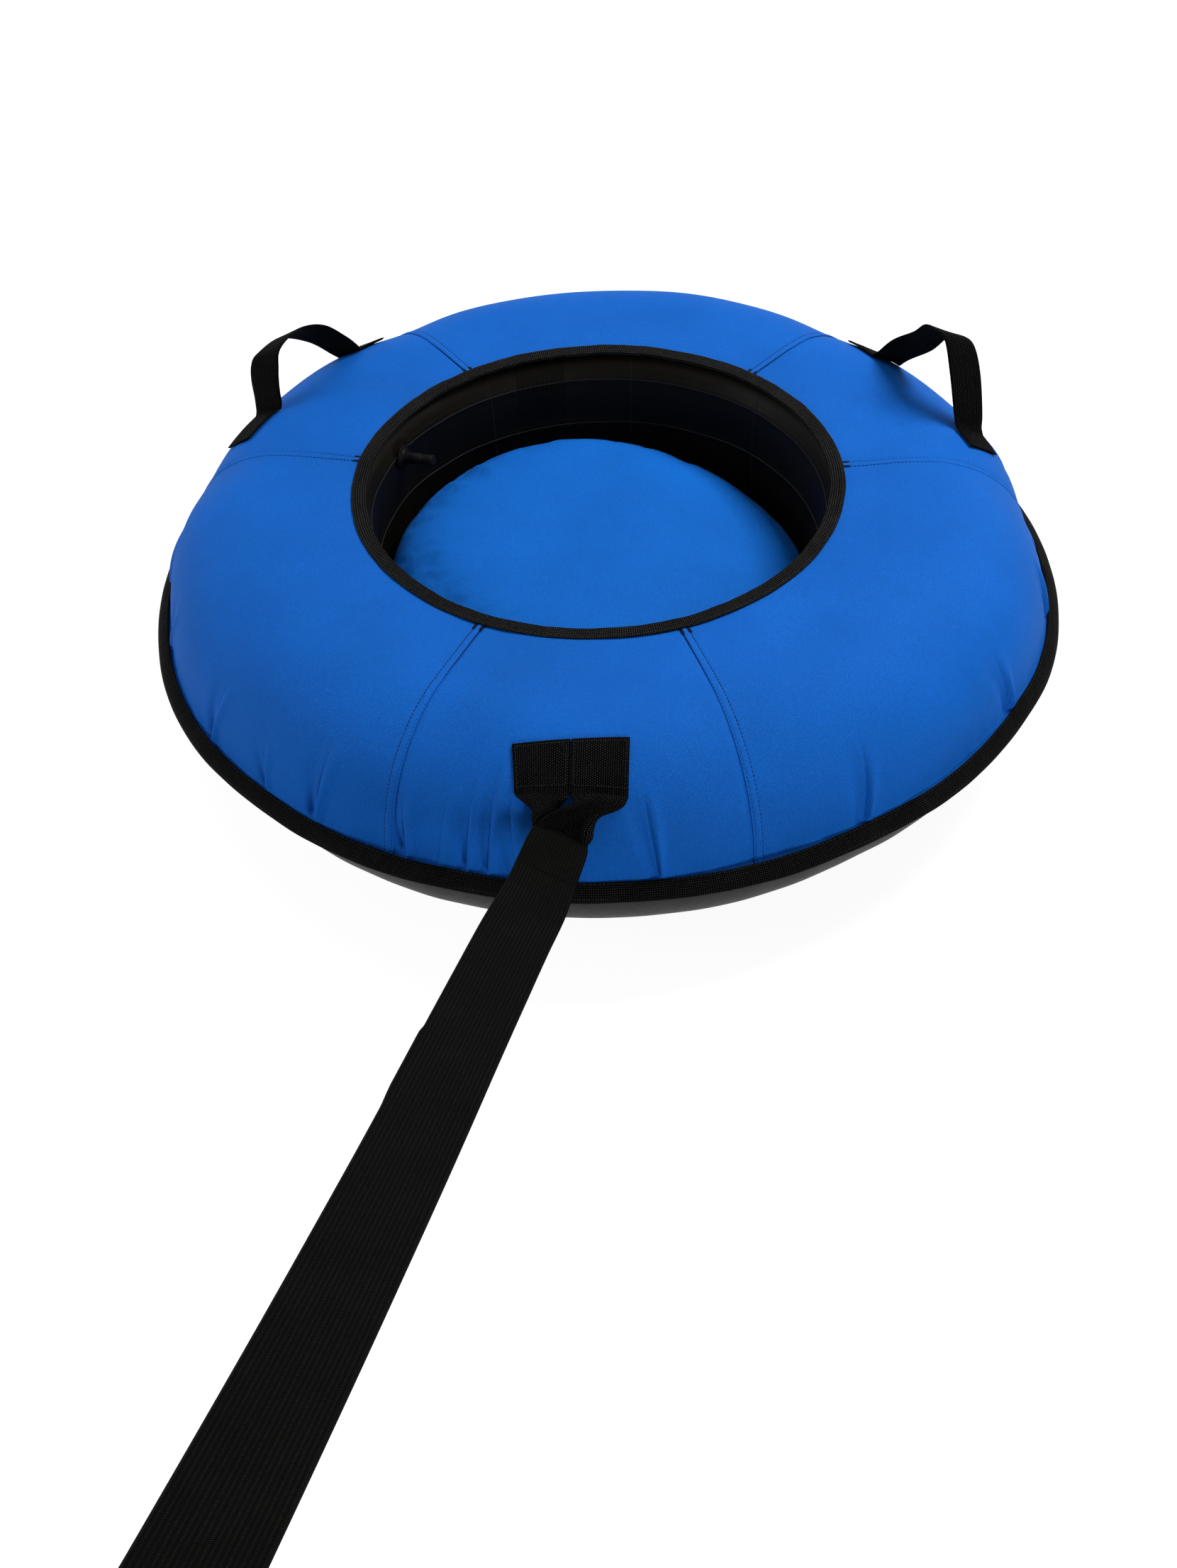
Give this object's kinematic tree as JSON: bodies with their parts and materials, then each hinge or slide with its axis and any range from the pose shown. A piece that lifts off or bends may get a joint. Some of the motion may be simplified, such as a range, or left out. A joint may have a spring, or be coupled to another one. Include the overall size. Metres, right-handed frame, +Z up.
{
  "type": "snow tube",
  "caption": "Inflated ring sled in a sewn cloth cover, with a domed seat in the hole, folding webbing grips and a tow strap with a hand loop.",
  "frame": {"origin": "on the ground under the middle of the ring", "axes": "+Z up through the hole, -Y towards the tow strap, +X to the right as seen from the strap's side"},
  "size_m": [0.92, 1.9678, 0.707],
  "materials": {
    "cover_cloth": "blue woven cloth, matt satin",
    "seat_cloth": "blue woven cloth, matt satin",
    "tape": "black woven tape",
    "webbing": "black ribbed webbing",
    "base_sheet": "dark grey coated sheet",
    "tube_rubber": "matt black rubber",
    "foam": "pale foam",
    "brass": "turned brass",
    "cap_plastic": "black moulded plastic"
  },
  "bodies": {
    "ring": {"front_panel": "cover_cloth", "front_right_panel": "cover_cloth", "right_grip_panel": "cover_cloth", "back_panel": "cover_cloth", "left_grip_panel": "cover_cloth", "front_left_panel": "cover_cloth", "seat_cover": "seat_cloth", "hole_binding": "tape", "rim_binding": "tape", "left_grip_front_foot": "webbing", "left_grip_back_foot": "webbing", "right_grip_front_foot": "webbing", "right_grip_back_foot": "webbing", "anchor_left_end": "webbing", "anchor_right_end": "webbing", "base_sheet": "base_sheet", "inner_tube": "tube_rubber", "valve_base": "tube_rubber", "seat_pad": "foam", "valve_stem": "brass", "valve_core": "brass"},
    "left_grip": {"left_grip_loop": "webbing"},
    "right_grip": {"right_grip_loop": "webbing"},
    "tow_anchor": {"anchor_loop": "webbing"},
    "tow_line": {"tow_eye": "webbing", "tow_strap": "webbing", "tow_handle": "webbing"},
    "cap": {"valve_cap": "cap_plastic"},
    "pin": {"valve_pin": "brass"}
  },
  "joints": [
    {"name": "left_grip_fold", "type": "hinge", "parent": "ring", "child": "left_grip", "pos_m": [-0.33169, 0.1915, 0.25337], "axis": [0.5, 0.866, 0], "range_deg": [-75, 65], "stiffness_Nm_per_rad": 0.3},
    {"name": "right_grip_fold", "type": "hinge", "parent": "ring", "child": "right_grip", "pos_m": [0.33169, 0.1915, 0.25337], "axis": [0.5, -0.866, 0], "range_deg": [-60, 80], "stiffness_Nm_per_rad": 0.3},
    {"name": "anchor_loop_fold", "type": "hinge", "parent": "ring", "child": "tow_anchor", "pos_m": [0, -0.41733, 0.20388], "axis": [-1, 0, 0], "range_deg": [-5, 40]},
    {"name": "tow_strap_lift", "type": "hinge", "parent": "tow_anchor", "child": "tow_line", "pos_m": [-0.003, -0.44541, 0.17724], "axis": [-1, 0, 0], "range_deg": [-25, 50]},
    {"name": "valve_cap_pull", "type": "slide", "parent": "ring", "child": "cap", "axis": [0.9115, -0.3775, 0.1635], "range_m": [0, 0.014]},
    {"name": "valve_pin_press", "type": "slide", "parent": "ring", "child": "pin", "axis": [-0.9115, 0.3775, -0.1635], "range_m": [0, 0.0012], "stiffness_N_per_m": 300}
  ]
}
